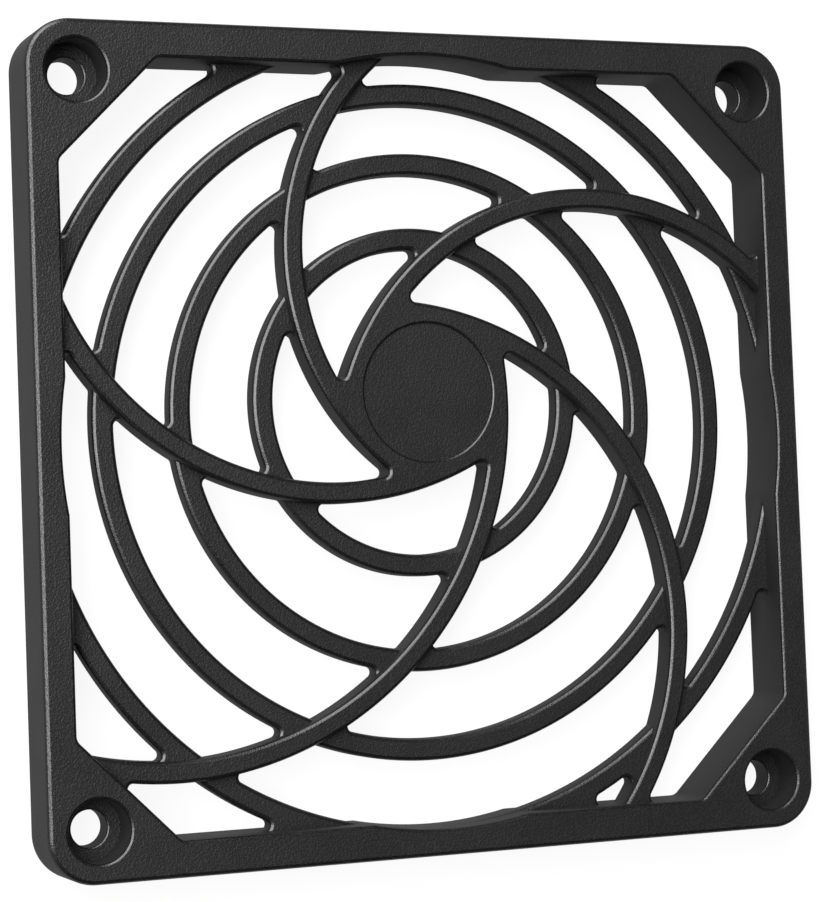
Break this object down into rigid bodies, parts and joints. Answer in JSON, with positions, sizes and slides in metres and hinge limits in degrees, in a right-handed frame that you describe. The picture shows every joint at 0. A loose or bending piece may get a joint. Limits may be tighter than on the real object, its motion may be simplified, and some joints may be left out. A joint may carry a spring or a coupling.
{
  "type": "plastic fan grille",
  "caption": "Square moulded plastic guard for a fan opening, with concentric rings, swirl spokes round a solid hub and a screw hole in each corner.",
  "frame": {"origin": "middle of the back face, which lies on z = 0", "axes": "+Z out of the front face, +X to the right and +Y up when looking at the front"},
  "size_m": [0.1194, 0.1194, 0.0096],
  "materials": {
    "plastic": "fine grained charcoal black, satin on the walls"
  },
  "bodies": {
    "root": {"fan_grille": "plastic"}
  },
  "joints": []
}
